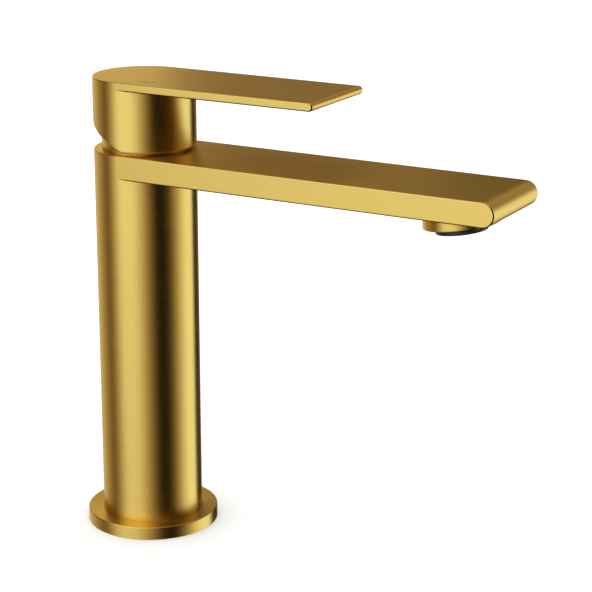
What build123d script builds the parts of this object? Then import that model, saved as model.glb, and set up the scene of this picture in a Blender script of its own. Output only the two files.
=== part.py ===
"""Single-lever basin mixer: column, flat spout, lever and ceramic cartridge.

Millimetres, +Z up. The origin is the centre of the foot, at the level where the mixer
seats on the deck. The spout and the lever reach towards -Y.
"""
from build123d import *

import os
from math import cos, hypot, radians, sin, sqrt, tan

# ---------------------------------------------------------------- driving dimensions
# Outside form
body_build_up = 7.5
flange_width = 6.25
flange_height = 5.2
body_top = 154.5
spout_height = 9.3
spout_reach = 156.3
handle_height = 28.3
lever_thickness = 3.2
lever_reach = 84.7
edge_rounding = 0.4
running_gap = 0.3
seat_gap = 0.05
cut_margin = 1.0

# Column and foot
column_wall = 2.0
foot_lip_width = 1.5
foot_lip_height = 1.5
foot_plate_height = 10.0
stud_thread_radius = 4.0
hose_hole_radius = 5.75
hose_hole_spread = 11.0
base_seal_setback = 2.25
base_seal_width = 1.6

# Valve body: seat of the cartridge and junction of the waterways
valve_body_height = 34.0
hub_lip_height = 1.8
body_seal_height = 0.8
body_ring_section = 0.75
lower_ring_drop = 4.0
neck_wall = 1.4
neck_rise = 6.0
hose_thread_radius = 4.0
hose_thread_depth = 10.0
inlet_spread = 6.5
inlet_radius = 2.5
cartridge_depth = 19.0
chamber_gap = 1.4
chamber_land = 3.2
waterway_floor = 2.3
waterway_height = 4.0
waterway_width = 28.0
body_port_width = 20.0

# Neck collar and retaining nut
collar_gap = 1.0
collar_side_height = 4.0
collar_height = 11.0
collar_mouth_radius = 9.2
collar_wall = 1.2
nut_wall = 1.5
nut_height = 5.2
spanner_notch = 2.5
spanner_notch_count = 4

# Cartridge
cartridge_radius = 12.5
cartridge_gap = 0.2
casing_wall = 2.5
casing_nose_step = 0.9
casing_nose_height = 5.8
casing_lip_height = 1.7
casing_height = 22.0
base_plate_height = 3.5
port_seal_height = 1.0
port_seal_width = 1.4
port_seal_step = 0.2
disc_height = 3.0
disc_film = 0.1
disc_port_radius = 2.0
disc_port_spread = 4.0
disc_port_advance = 4.5
disc_outlet_radius = 3.0
disc_outlet_setback = 3.5
pocket_radius = 5.0
pocket_setback = 3.2
pocket_depth = 1.5
carrier_height = 4.6
carrier_rim = 0.6
ball_depth = 1.8
ball_radius = 2.2
ball_gap = 0.12
pivot_above_ball = 8.0
pivot_pin_radius = 1.5
pivot_pin_setback = 0.55
pivot_pin_chamfer = 0.3
pin_seat_gap = 0.02
pin_running_gap = 0.05
stem_square = 6.0
stem_corner = 0.6
stem_chamfer = 0.5
stem_waist_radius = 1.7
stem_block_drop = 3.2
stem_grip = 9.5
rotor_neck_wall = 1.1
rotor_rise = 1.6
rotor_ring_rise = 2.0
rotor_ring_section = 0.6
lift_limit = 25.0

# Handle
cap_gap = 1.0
cap_wall = 2.1
cap_rounding = 1.0
cap_relief_angle = 27.2
cap_relief_start = 1.6
cap_relief_blend = 3.0
cap_ceiling_height = 14.5
socket_gap = 0.1
grub_radius = 2.5
grub_length = 7.0
grub_key_width = 2.5
grub_key_depth = 3.0
grub_chamfer = 0.4
plug_length = 2.4
plug_chamfer = 0.3
plug_inset = 0.15
mark_length = 5.4
mark_width = 2.2
mark_depth = 0.5
mark_inset = 0.05
mark_spread = 12.7
mark_advance = 10.2

# Outlet
outlet_setback = 21.1
outlet_slant = 8.5
boss_radius = 14.0
boss_drop = 5.0
boss_rounding = 0.6
aerator_radius = 10.6
aerator_thread_gap = 0.1
aerator_depth = 4.6
aerator_seal_height = 1.0
aerator_seal_width = 2.0
nose_step = 1.0
nose_wall = 1.3
nose_drop = 2.2
nose_key_count = 8
nose_key_width = 1.6
nose_key_depth = 0.8
nose_key_reach = 0.7
honeycomb_level = 0.8
honeycomb_height = 2.0
honeycomb_pitch = 2.5
honeycomb_cell_radius = 1.1
regulator_level = 1.6
regulator_height = 1.2
regulator_hole_radius = 1.0
regulator_hole_setback = 3.3
regulator_hole_count = 8
screen_level = 3.2
screen_height = 0.6
screen_pitch = 1.9
screen_hole_radius = 0.6

# ---------------------------------------------------------------- worked-out places
body_radius = cartridge_radius + body_build_up
flange_radius = body_radius + flange_width
base_seal_radius = flange_radius - base_seal_setback
handle_top = body_top + handle_height
outlet_reach = spout_reach - outlet_setback
column_bore = body_radius - column_wall
spout_bottom = body_top - spout_height
hub_lip_bottom = body_top - hub_lip_height
valve_top = hub_lip_bottom - body_seal_height
valve_bottom = valve_top - valve_body_height
neck_top = body_top + neck_rise
cartridge_floor = body_top - cartridge_depth
cartridge_bore = cartridge_radius + cartridge_gap
waterway_bottom = spout_bottom + waterway_floor
chamber_radius = cartridge_radius + cartridge_gap + chamber_gap
nut_thread_radius = cartridge_radius + nut_wall
neck_thread_radius = nut_thread_radius + neck_wall
collar_radius = body_radius - cap_wall - collar_gap
casing_nose_radius = cartridge_radius - casing_nose_step

disc_floor = cartridge_floor + base_plate_height
casing_top = disc_floor + casing_height
casing_shoulder = casing_top - casing_nose_height
casing_inside = cartridge_radius - casing_wall
moving_disc_floor = disc_floor + disc_height + disc_film
carrier_floor = moving_disc_floor + disc_height
carrier_top = carrier_floor + carrier_height
ball_centre = carrier_top - ball_depth
pivot_height = ball_centre + pivot_above_ball
disc_travel = pivot_above_ball * sin(radians(lift_limit))
moving_disc_radius = casing_inside - disc_travel / 2 - running_gap
rotor_radius = casing_inside - seat_gap
rotor_bottom = carrier_top + running_gap
rotor_shoulder = casing_top - casing_lip_height - running_gap
rotor_top = casing_top + rotor_rise
rotor_slot_width = stem_square + 2 * running_gap
pivot_pin_length = 2 * (rotor_radius - pivot_pin_setback)

# The slot in the rotor lets the square stem lean to the lift limit at the rotor's top
stem_lean = (rotor_top - pivot_height) * tan(radians(lift_limit))
rotor_slot_length = 2 * (stem_lean + stem_square / 2 / cos(radians(lift_limit)) + running_gap)
rotor_neck_radius = hypot(rotor_slot_width, rotor_slot_length) / 2 + rotor_neck_wall

cap_bottom = body_top + cap_gap
cap_ceiling = cap_bottom + cap_ceiling_height
lever_bottom = handle_top - lever_thickness
stem_top = cap_ceiling + stem_grip
stem_block_bottom = pivot_height - stem_block_drop
grub_level = cap_ceiling + stem_grip / 2

aerator_throat_radius = aerator_radius - aerator_seal_width
nose_radius = aerator_radius - nose_step
aerator_inside_radius = nose_radius - nose_wall

# The slanted mouth of the outlet: its plane's z axis points out of the mouth
mouth_centre = Vector(0, -outlet_reach, spout_bottom - boss_drop)
mouth_axis = Vector(0, -sin(radians(outlet_slant)), -cos(radians(outlet_slant)))
mouth_plane = Plane(origin=mouth_centre, x_dir=(1, 0, 0), z_dir=mouth_axis)


def into_spout(depth):
    """Give the plane that lies a depth inside the outlet's slanted mouth."""
    return mouth_plane.offset(-depth)


def level(height):
    """Give the horizontal plane at a height."""
    return Plane.XY.offset(height)


def spots_in_disc(pitch, reach):
    """List the centres of a triangular pattern that lie within a disc."""
    row_pitch = pitch * sqrt(3) / 2
    last = int(reach / row_pitch) + 1
    steps = range(-last, last + 1)
    spots = [((column + (row % 2) / 2) * pitch, row * row_pitch) for row in steps for column in steps]
    return [spot for spot in spots if hypot(*spot) <= reach]


def flat_bar(reach, bottom, top):
    """Make a bar as wide as the body: round about its axis at the back, half-round at its tip."""
    nose = (top - bottom) / 2
    with BuildPart() as bar:
        with BuildSketch(level(bottom - cut_margin)):
            with BuildLine():
                left = Line((-body_radius, 0), (-body_radius, -reach - cut_margin))
                tip = Line(left @ 1, (body_radius, -reach - cut_margin))
                right = Line(tip @ 1, (body_radius, 0))
                ThreePointArc(right @ 1, (0, body_radius), left @ 0)
            make_face()
        extrude(amount=top - bottom + 2 * cut_margin)
        with BuildSketch(Plane.YZ):
            with BuildLine():
                upper = Line((body_radius + cut_margin, top), (nose - reach, top))
                end = ThreePointArc(upper @ 1, (-reach, bottom + nose), (nose - reach, bottom))
                lower = Line(end @ 1, (body_radius + cut_margin, bottom))
                Line(lower @ 1, upper @ 0)
            make_face()
        extrude(amount=body_radius + cut_margin, both=True, mode=Mode.INTERSECT)
        creases = [e for e in bar.edges() if e.bounding_box().size.Y > nose / 2]
        fillet(creases, radius=edge_rounding)
    return bar.part


def turned_ring(outer, inner, bottom, top):
    """Make a plain ring about the column's axis."""
    with BuildPart() as ring:
        with BuildSketch(level(bottom)):
            Circle(outer)
            Circle(inner, mode=Mode.SUBTRACT)
        extrude(amount=top - bottom)
    return ring.part


def round_ring(centre_radius, section, height):
    """Make a ring of round section about the column's axis."""
    with BuildPart() as ring:
        with BuildSketch(Plane.XZ):
            with Locations((centre_radius, height)):
                Circle(section)
        revolve(axis=Axis.Z)
    return ring.part


# ---------------------------------------------------------------- column and foot
with BuildPart() as column:
    with BuildSketch(Plane.XY):
        Circle(body_radius)
    extrude(amount=spout_bottom)
    with BuildSketch(Plane.XY):
        Circle(body_radius + foot_lip_width)
    extrude(amount=foot_lip_height)
    with BuildSketch(Plane.XY):
        Circle(column_bore)
    extrude(amount=spout_bottom, mode=Mode.SUBTRACT)
column.part.label = "column"

seal_outer = base_seal_radius + base_seal_width / 2
seal_inner = base_seal_radius - base_seal_width / 2
with BuildPart() as base_flange:
    with BuildSketch(Plane.XY):
        Circle(flange_radius)
        Circle(body_radius + seat_gap, mode=Mode.SUBTRACT)
    extrude(amount=flange_height)
    with BuildSketch(Plane.XY):
        Circle(body_radius + foot_lip_width + seat_gap)
    extrude(amount=foot_lip_height + seat_gap, mode=Mode.SUBTRACT)
    with BuildSketch(Plane.XY):
        Circle(seal_outer + seat_gap)
        Circle(seal_inner - seat_gap, mode=Mode.SUBTRACT)
    extrude(amount=base_seal_width + seat_gap, mode=Mode.SUBTRACT)
    rim = base_flange.edges().filter_by(GeomType.CIRCLE).group_by(SortBy.RADIUS)[-1]
    fillet(rim.sort_by(Axis.Z)[-1], radius=edge_rounding)
base_flange.part.label = "base_flange"

base_seal = turned_ring(seal_outer, seal_inner, 0, base_seal_width)
base_seal.label = "base_seal"

with BuildPart() as foot_plate:
    with BuildSketch(Plane.XY):
        Circle(column_bore - seat_gap)
        Circle(stud_thread_radius, mode=Mode.SUBTRACT)
        with Locations((-hose_hole_spread, 0), (hose_hole_spread, 0)):
            Circle(hose_hole_radius, mode=Mode.SUBTRACT)
    extrude(amount=foot_plate_height)
foot_plate.part.label = "foot_plate"

# ---------------------------------------------------------------- spout and outlet boss
spout_bar = flat_bar(spout_reach, spout_bottom, body_top)
aerator_bore = aerator_radius + aerator_thread_gap
thread_end = aerator_depth + aerator_seal_height
with BuildPart() as spout:
    add(spout_bar)
    # The hub's foot is a full round, so that it meets the column without a groove.
    with BuildSketch(level(spout_bottom)):
        Circle(body_radius)
    extrude(amount=2 * edge_rounding)
    with BuildSketch(level(spout_bottom)):
        Circle(column_bore)
    extrude(amount=hub_lip_bottom - spout_bottom, mode=Mode.SUBTRACT)
    with BuildSketch(level(hub_lip_bottom)):
        Circle(neck_thread_radius + cartridge_gap)
    extrude(amount=hub_lip_height, mode=Mode.SUBTRACT)
    # The waterway runs from the hub to a round end above the outlet.
    with BuildSketch(level(waterway_bottom)):
        with Locations((0, -outlet_reach / 2)):
            Rectangle(waterway_width, outlet_reach)
        with Locations((0, -outlet_reach)):
            Circle(waterway_width / 2)
    extrude(amount=waterway_height, mode=Mode.SUBTRACT)
    with BuildSketch(into_spout(thread_end)):
        Circle(aerator_bore)
    extrude(amount=thread_end, mode=Mode.SUBTRACT)
    with BuildSketch(into_spout(thread_end)):
        Circle(aerator_throat_radius)
    extrude(amount=-waterway_floor, mode=Mode.SUBTRACT)
spout.part.label = "spout"

mouth_fall = boss_radius * tan(radians(outlet_slant))
with BuildPart() as outlet_boss:
    with BuildSketch(level(spout_bottom)):
        with Locations((0, -outlet_reach)):
            Circle(boss_radius)
    extrude(amount=-(boss_drop + mouth_fall + cut_margin))
    split(bisect_by=mouth_plane, keep=Keep.BOTTOM)
    mouth_face = outlet_boss.faces().sort_by(Axis(mouth_centre, mouth_axis))[-1]
    fillet(mouth_face.edges(), radius=boss_rounding)
    with BuildSketch(into_spout(thread_end + boss_drop)):
        Circle(aerator_bore)
    extrude(amount=thread_end + 2 * boss_drop, mode=Mode.SUBTRACT)
outlet_boss.part.label = "outlet_boss"

# ---------------------------------------------------------------- aerator
with BuildPart() as aerator_housing:
    with BuildSketch(into_spout(aerator_depth)):
        Circle(aerator_radius)
        Circle(aerator_inside_radius, mode=Mode.SUBTRACT)
    extrude(amount=aerator_depth - seat_gap)
    with BuildSketch(into_spout(aerator_depth)):
        Circle(nose_radius)
        Circle(aerator_inside_radius, mode=Mode.SUBTRACT)
    extrude(amount=aerator_depth + nose_drop)
    with BuildSketch(mouth_plane.offset(nose_drop)):
        with PolarLocations(aerator_inside_radius, nose_key_count):
            Rectangle(2 * nose_key_reach, nose_key_width)
    extrude(amount=-nose_key_depth, mode=Mode.SUBTRACT)
aerator_housing.part.label = "aerator_housing"

with BuildPart() as aerator_seal:
    with BuildSketch(into_spout(thread_end)):
        Circle(aerator_radius)
        Circle(aerator_throat_radius, mode=Mode.SUBTRACT)
    extrude(amount=aerator_seal_height)
aerator_seal.part.label = "aerator_seal"

insert_radius = aerator_inside_radius - seat_gap
with BuildPart() as honeycomb:
    with BuildSketch(into_spout(honeycomb_level)):
        Circle(insert_radius)
        with Locations(*spots_in_disc(honeycomb_pitch, insert_radius - honeycomb_pitch / 2)):
            RegularPolygon(honeycomb_cell_radius, 6, rotation=30, mode=Mode.SUBTRACT)
    extrude(amount=honeycomb_height)
honeycomb.part.label = "honeycomb"

with BuildPart() as flow_regulator:
    with BuildSketch(into_spout(regulator_level + regulator_height)):
        Circle(insert_radius)
        with PolarLocations(insert_radius - regulator_hole_setback, regulator_hole_count):
            Circle(regulator_hole_radius, mode=Mode.SUBTRACT)
    extrude(amount=regulator_height)
flow_regulator.part.label = "flow_regulator"

with BuildPart() as filter_screen:
    with BuildSketch(into_spout(screen_level + screen_height)):
        Circle(insert_radius)
        with Locations(*spots_in_disc(screen_pitch, insert_radius - screen_pitch / 2)):
            Circle(screen_hole_radius, mode=Mode.SUBTRACT)
    extrude(amount=screen_height)
filter_screen.part.label = "filter_screen"

# ---------------------------------------------------------------- valve body
land_height = casing_shoulder - chamber_land
lower_ring_height = spout_bottom - lower_ring_drop
hose_thread_end = valve_bottom + hose_thread_depth
body_outer = column_bore - seat_gap
ring_groove = 2 * body_ring_section + 2 * seat_gap
with BuildPart() as valve_body:
    with BuildSketch(level(valve_bottom)):
        Circle(body_outer)
    extrude(amount=valve_body_height)
    with BuildSketch(level(valve_top)):
        Circle(neck_thread_radius)
    extrude(amount=neck_top - valve_top)
    with BuildSketch(level(cartridge_floor)):
        Circle(cartridge_bore)
    extrude(amount=neck_top - cartridge_floor, mode=Mode.SUBTRACT)
    with BuildSketch(level(casing_shoulder - running_gap)):
        Circle(nut_thread_radius)
    extrude(amount=neck_top - casing_shoulder + running_gap, mode=Mode.SUBTRACT)
    # The mixing chamber is a turned undercut round the cartridge.
    with BuildSketch(level(disc_floor - base_plate_height / 2)):
        Circle(chamber_radius)
    extrude(amount=land_height - disc_floor + base_plate_height / 2, mode=Mode.SUBTRACT)
    with BuildSketch(level(waterway_bottom)):
        with Locations((0, -column_bore / 2)):
            Rectangle(body_port_width, column_bore)
    extrude(amount=waterway_height, mode=Mode.SUBTRACT)
    # The hoses screw in straight above their holes in the foot plate.
    with BuildSketch(level(valve_bottom)):
        with Locations((-hose_hole_spread, 0), (hose_hole_spread, 0)):
            Circle(hose_thread_radius)
    extrude(amount=hose_thread_depth, mode=Mode.SUBTRACT)
    # From each hose a passage leads inwards to the port under the cartridge.
    with BuildSketch(level(hose_thread_end - inlet_radius)):
        for side in (-1, 1):
            with BuildLine():
                Line((side * inlet_spread, 0), (side * hose_hole_spread, 0))
            trace(line_width=2 * inlet_radius)
    extrude(amount=2 * inlet_radius, mode=Mode.SUBTRACT)
    with BuildSketch(level(hose_thread_end)):
        with Locations((-inlet_spread, 0), (inlet_spread, 0)):
            Circle(inlet_radius)
    extrude(amount=cartridge_floor - hose_thread_end, mode=Mode.SUBTRACT)
    with BuildSketch(level(lower_ring_height - ring_groove / 2)):
        Circle(column_bore)
        Circle(column_bore - ring_groove, mode=Mode.SUBTRACT)
    extrude(amount=ring_groove, mode=Mode.SUBTRACT)
valve_body.part.label = "valve_body"

lower_body_ring = round_ring(
    column_bore - seat_gap - body_ring_section, body_ring_section, lower_ring_height)
lower_body_ring.label = "lower_body_ring"

upper_body_ring = turned_ring(
    body_outer - cartridge_gap, neck_thread_radius + cartridge_gap, valve_top, hub_lip_bottom)
upper_body_ring.label = "upper_body_ring"

# ---------------------------------------------------------------- neck collar and nut
collar_top = body_top + collar_height
collar_inside = neck_thread_radius + socket_gap
with BuildPart() as neck_collar:
    with BuildSketch(Plane.XZ):
        with BuildLine():
            side = Line((collar_radius, body_top), (collar_radius, body_top + collar_side_height))
            dome = EllipticalCenterArc(
                (collar_mouth_radius, body_top + collar_side_height),
                collar_radius - collar_mouth_radius, collar_height - collar_side_height,
                start_angle=0, arc_size=90)
            mouth = Line(dome @ 1, (collar_mouth_radius, collar_top - collar_wall))
            hollow = EllipticalCenterArc(
                (collar_mouth_radius, neck_top + seat_gap),
                collar_inside - collar_mouth_radius - collar_wall,
                collar_top - collar_wall - neck_top - seat_gap,
                start_angle=0, arc_size=90)
            step = Line(hollow @ 0, (collar_inside, neck_top + seat_gap))
            bore = Line(step @ 1, (collar_inside, body_top))
            Line(bore @ 1, side @ 0)
        make_face()
    revolve(axis=Axis.Z)
neck_collar.part.label = "neck_collar"

with BuildPart() as retaining_nut:
    with BuildSketch(level(casing_shoulder)):
        Circle(nut_thread_radius - seat_gap)
        Circle(casing_nose_radius + seat_gap, mode=Mode.SUBTRACT)
    extrude(amount=nut_height)
    with BuildSketch(level(casing_shoulder + nut_height)):
        with PolarLocations(nut_thread_radius, spanner_notch_count):
            Rectangle(2 * spanner_notch, spanner_notch)
    extrude(amount=-spanner_notch / 2, mode=Mode.SUBTRACT)
retaining_nut.part.label = "retaining_nut"

# ---------------------------------------------------------------- cartridge, fixed pieces
port_seal_inner = inlet_radius + port_seal_step
port_seal_outer = port_seal_inner + port_seal_width
with BuildPart() as cartridge_base:
    with BuildSketch(level(cartridge_floor)):
        Circle(cartridge_radius)
    extrude(amount=base_plate_height)
    with BuildSketch(level(cartridge_floor)):
        with Locations((-inlet_spread, 0), (inlet_spread, 0)):
            Circle(port_seal_outer)
    extrude(amount=port_seal_height, mode=Mode.SUBTRACT)
    # Each inlet is a slanting slot from the seal to the fixed disc's port.
    with BuildSketch(level(cartridge_floor + port_seal_height)):
        for side in (-1, 1):
            with BuildLine():
                Line((side * inlet_spread, 0), (side * disc_port_spread, -disc_port_advance))
            trace(line_width=2 * disc_port_radius)
    extrude(amount=base_plate_height - port_seal_height, mode=Mode.SUBTRACT)
    # The mixed water leaves at the back, into the chamber round the casing.
    with BuildSketch(level(cartridge_floor + port_seal_height)):
        with Locations((0, disc_outlet_setback)):
            Circle(disc_outlet_radius)
        with Locations((0, (cartridge_radius + disc_outlet_setback) / 2)):
            Rectangle(2 * disc_outlet_radius, cartridge_radius - disc_outlet_setback + cut_margin)
    extrude(amount=base_plate_height - port_seal_height, mode=Mode.SUBTRACT)
cartridge_base.part.label = "cartridge_base"

port_seals = []
for side in (-1, 1):
    with BuildPart() as port_seal:
        with BuildSketch(level(cartridge_floor)):
            with Locations((side * inlet_spread, 0)):
                Circle(port_seal_outer - seat_gap)
                Circle(port_seal_inner, mode=Mode.SUBTRACT)
        extrude(amount=port_seal_height - seat_gap)
    port_seals.append(port_seal.part)
inlet_seals = Compound(children=port_seals)
inlet_seals.label = "inlet_seals"

casing_ring_height = (land_height + casing_shoulder) / 2
with BuildPart() as cartridge_casing:
    with BuildSketch(level(disc_floor)):
        Circle(cartridge_radius)
    extrude(amount=casing_shoulder - disc_floor)
    with BuildSketch(level(casing_shoulder)):
        Circle(casing_nose_radius)
    extrude(amount=casing_nose_height)
    with BuildSketch(level(disc_floor)):
        Circle(casing_inside)
    extrude(amount=casing_height - casing_lip_height, mode=Mode.SUBTRACT)
    with BuildSketch(level(disc_floor)):
        Circle(rotor_neck_radius + running_gap)
    extrude(amount=casing_height, mode=Mode.SUBTRACT)
    with BuildSketch(level(casing_ring_height - ring_groove / 2)):
        Circle(cartridge_bore)
        Circle(cartridge_bore - ring_groove + cartridge_gap, mode=Mode.SUBTRACT)
    extrude(amount=ring_groove, mode=Mode.SUBTRACT)
cartridge_casing.part.label = "cartridge_casing"

casing_ring_section = (ring_groove - cartridge_gap) / 2 - seat_gap
casing_ring = round_ring(
    cartridge_bore - seat_gap - casing_ring_section, casing_ring_section, casing_ring_height)
casing_ring.label = "casing_ring"

with BuildPart() as fixed_disc:
    with BuildSketch(level(disc_floor)):
        Circle(casing_inside - cartridge_gap)
        with Locations((-disc_port_spread, -disc_port_advance), (disc_port_spread, -disc_port_advance)):
            Circle(disc_port_radius, mode=Mode.SUBTRACT)
        with Locations((0, disc_outlet_setback)):
            Circle(disc_outlet_radius, mode=Mode.SUBTRACT)
    extrude(amount=disc_height)
fixed_disc.part.label = "fixed_disc"

# ---------------------------------------------------------------- cartridge, moving pieces
disc_setback = disc_travel / 2
with BuildPart() as moving_disc:
    with BuildSketch(level(moving_disc_floor)):
        with Locations((0, disc_setback)):
            Circle(moving_disc_radius)
    extrude(amount=disc_height)
    with BuildSketch(level(moving_disc_floor)):
        with Locations((0, pocket_setback)):
            Circle(pocket_radius)
    extrude(amount=pocket_depth, mode=Mode.SUBTRACT)
moving_disc.part.label = "moving_disc"

with BuildPart() as disc_carrier:
    with BuildSketch(level(carrier_floor)):
        with Locations((0, disc_setback)):
            Circle(moving_disc_radius - carrier_rim)
        Circle(ball_radius + ball_gap, mode=Mode.SUBTRACT)
    extrude(amount=carrier_height)
    top_rim = disc_carrier.edges().group_by(Axis.Z)[-1].sort_by(SortBy.RADIUS)[-1]
    chamfer(top_rim, length=carrier_rim)
disc_carrier.part.label = "disc_carrier"

rotor_ring_height = rotor_bottom + rotor_ring_rise
rotor_groove = 2 * rotor_ring_section + seat_gap
with BuildPart() as rotor:
    with BuildSketch(level(rotor_bottom)):
        Circle(rotor_radius)
    extrude(amount=rotor_shoulder - rotor_bottom)
    with BuildSketch(level(rotor_shoulder)):
        Circle(rotor_neck_radius)
    extrude(amount=rotor_top - rotor_shoulder)
    with BuildSketch(level(rotor_bottom)):
        RectangleRounded(rotor_slot_width, rotor_slot_length, stem_corner)
    extrude(amount=rotor_top - rotor_bottom, mode=Mode.SUBTRACT)
    with Locations(Plane(origin=(0, 0, pivot_height), z_dir=(1, 0, 0))):
        Hole(pivot_pin_radius + pin_seat_gap)
    with BuildSketch(level(rotor_ring_height - rotor_groove / 2)):
        Circle(casing_inside)
        Circle(rotor_radius - rotor_groove, mode=Mode.SUBTRACT)
    extrude(amount=rotor_groove, mode=Mode.SUBTRACT)
rotor.part.label = "rotor"

rotor_ring = round_ring(rotor_radius - rotor_ring_section, rotor_ring_section, rotor_ring_height)
rotor_ring.label = "rotor_ring"

with BuildPart() as pivot_pin:
    with BuildSketch(Plane.YZ):
        with Locations((0, pivot_height)):
            Circle(pivot_pin_radius)
    extrude(amount=pivot_pin_length / 2, both=True)
    chamfer(pivot_pin.edges().filter_by(GeomType.CIRCLE), length=pivot_pin_chamfer)
pivot_pin.part.label = "pivot_pin"

with BuildPart() as stem:
    with BuildSketch(level(stem_block_bottom)):
        RectangleRounded(stem_square, stem_square, stem_corner)
    extrude(amount=stem_top - stem_block_bottom)
    chamfer(stem.faces().sort_by(Axis.Z)[-1].edges(), length=stem_chamfer)
    with BuildSketch(level(ball_centre)):
        Circle(stem_waist_radius)
    extrude(amount=stem_block_bottom - ball_centre)
    with Locations((0, 0, ball_centre)):
        Sphere(ball_radius)
    with Locations(Plane(origin=(0, 0, pivot_height), z_dir=(1, 0, 0))):
        Hole(pivot_pin_radius + pin_running_gap)
stem.part.label = "stem"

# ---------------------------------------------------------------- lever handle
socket_width = stem_square + 2 * socket_gap
lever_bar = flat_bar(lever_reach, lever_bottom, handle_top)
with BuildPart() as lever_handle:
    with BuildSketch(level(cap_bottom)):
        Circle(body_radius)
    extrude(amount=lever_bottom + 2 * edge_rounding - cap_bottom)
    # The back of the cap is relieved at a slant, to clear the hub when the lever lifts.
    with BuildSketch(Plane.YZ):
        with BuildLine():
            reach_back = body_radius + cut_margin
            rise = (reach_back + cap_relief_start) * tan(radians(cap_relief_angle))
            flat = Line((-cap_relief_start, cap_bottom - cut_margin), (-cap_relief_start, cap_bottom))
            slant = Line(flat @ 1, (reach_back, cap_bottom + rise))
            Polyline(slant @ 1, (reach_back, cap_bottom - cut_margin), flat @ 0)
        make_face()
    extrude(amount=body_radius + cut_margin, both=True, mode=Mode.SUBTRACT)
    crease = lever_handle.edges().filter_by(Axis.X).sort_by(Axis.Z)[0]
    fillet(crease, radius=cap_relief_blend)
    under_faces = lever_handle.faces().filter_by(lambda f: f.normal_at(f.center()).Z < -0.5)
    fillet(under_faces.edges().filter_by(Axis.X, reverse=True), radius=cap_rounding)
    with BuildSketch(level(cap_bottom - cut_margin)):
        Circle(body_radius - cap_wall)
    extrude(amount=cap_ceiling_height + cut_margin, mode=Mode.SUBTRACT)
    add(lever_bar)
    with BuildSketch(level(cap_ceiling)):
        Rectangle(socket_width, socket_width)
    extrude(amount=stem_grip + socket_gap, mode=Mode.SUBTRACT)
    with BuildSketch(Plane.XZ):
        with Locations((0, grub_level)):
            Circle(grub_radius)
    extrude(amount=-body_radius - cut_margin, mode=Mode.SUBTRACT)
    with BuildSketch(level(handle_top)):
        with Locations((-mark_spread, -mark_advance), (mark_spread, -mark_advance)):
            SlotOverall(mark_length, mark_width, rotation=90)
    extrude(amount=-mark_depth, mode=Mode.SUBTRACT)
lever_handle.part.label = "lever_handle"

grub_plane = Plane(origin=(0, stem_square / 2, grub_level), x_dir=(1, 0, 0), z_dir=(0, 1, 0))
with BuildPart() as grub_screw:
    with BuildSketch(grub_plane):
        Circle(grub_radius - seat_gap)
    extrude(amount=grub_length)
    chamfer(grub_screw.edges().filter_by(GeomType.CIRCLE), length=grub_chamfer)
    with BuildSketch(grub_plane.offset(grub_length)):
        RegularPolygon(grub_key_width / 2, 6, major_radius=False)
    extrude(amount=-grub_key_depth, mode=Mode.SUBTRACT)
grub_screw.part.label = "grub_screw"

plug_face = sqrt(body_radius ** 2 - grub_radius ** 2) - plug_inset
with BuildPart() as screw_plug:
    with BuildSketch(grub_plane.offset(plug_face - stem_square / 2)):
        Circle(grub_radius - seat_gap)
    extrude(amount=-plug_length)
    chamfer(screw_plug.edges().filter_by(GeomType.CIRCLE).sort_by(Axis.Y)[-1], length=plug_chamfer)
screw_plug.part.label = "screw_plug"


def mark_inlay(side):
    """Make the enamel that fills one of the two marks, a little under the lever's face."""
    with BuildPart() as inlay:
        with BuildSketch(level(handle_top - mark_depth)):
            with Locations((side * mark_spread, -mark_advance)):
                SlotOverall(mark_length - 2 * seat_gap, mark_width - 2 * seat_gap, rotation=90)
        extrude(amount=mark_depth - mark_inset)
    return inlay.part


cold_mark = mark_inlay(-1)
cold_mark.label = "cold_mark"
hot_mark = mark_inlay(1)
hot_mark.label = "hot_mark"

# ---------------------------------------------------------------- files
os.makedirs("parts", exist_ok=True)
for piece in (
    column.part, base_flange.part, base_seal, foot_plate.part,
    spout.part, outlet_boss.part, aerator_housing.part, aerator_seal.part,
    honeycomb.part, flow_regulator.part, filter_screen.part,
    valve_body.part, lower_body_ring, upper_body_ring, neck_collar.part, retaining_nut.part,
    cartridge_base.part, inlet_seals, cartridge_casing.part, casing_ring, fixed_disc.part,
    moving_disc.part, disc_carrier.part, rotor.part, rotor_ring, pivot_pin.part, stem.part,
    lever_handle.part, grub_screw.part, screw_plug.part, cold_mark, hot_mark,
):
    export_step(piece, f"parts/{piece.label}.step")
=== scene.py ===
"""Looks of a single-lever basin mixer in brushed gold, in metres, in the frame of its solid model.

The axis of the column is Z, the mixer seats at z = 0, and the spout and the lever reach towards -Y.
"""

import bmesh
import bpy
import numpy as np
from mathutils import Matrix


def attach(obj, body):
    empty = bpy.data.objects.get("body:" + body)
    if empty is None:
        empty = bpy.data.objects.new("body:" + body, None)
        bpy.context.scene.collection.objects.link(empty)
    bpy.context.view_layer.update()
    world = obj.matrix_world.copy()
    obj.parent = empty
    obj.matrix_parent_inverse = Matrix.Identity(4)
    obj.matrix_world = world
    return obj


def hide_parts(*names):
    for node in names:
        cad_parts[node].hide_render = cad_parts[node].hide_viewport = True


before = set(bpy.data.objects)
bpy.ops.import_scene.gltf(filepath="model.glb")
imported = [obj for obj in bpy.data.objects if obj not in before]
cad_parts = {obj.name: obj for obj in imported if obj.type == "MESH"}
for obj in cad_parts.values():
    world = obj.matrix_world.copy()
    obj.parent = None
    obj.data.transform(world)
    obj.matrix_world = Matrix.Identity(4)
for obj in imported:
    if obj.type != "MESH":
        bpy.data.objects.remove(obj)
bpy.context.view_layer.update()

# ------------------------------------------------------------------ column
# The round tube that carries everything: drawn brass, turned, brushed round its axis and plated gold.
# It stands on the deck in the flange, and the spout's hub is brazed on its top.
BODY_RADIUS = 0.0200
COLUMN_BORE = 0.0180
COLUMN_TOP = 0.1458
FOOT_LIP_RADIUS = 0.0215
FOOT_LIP_HEIGHT = 0.0015
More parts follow.
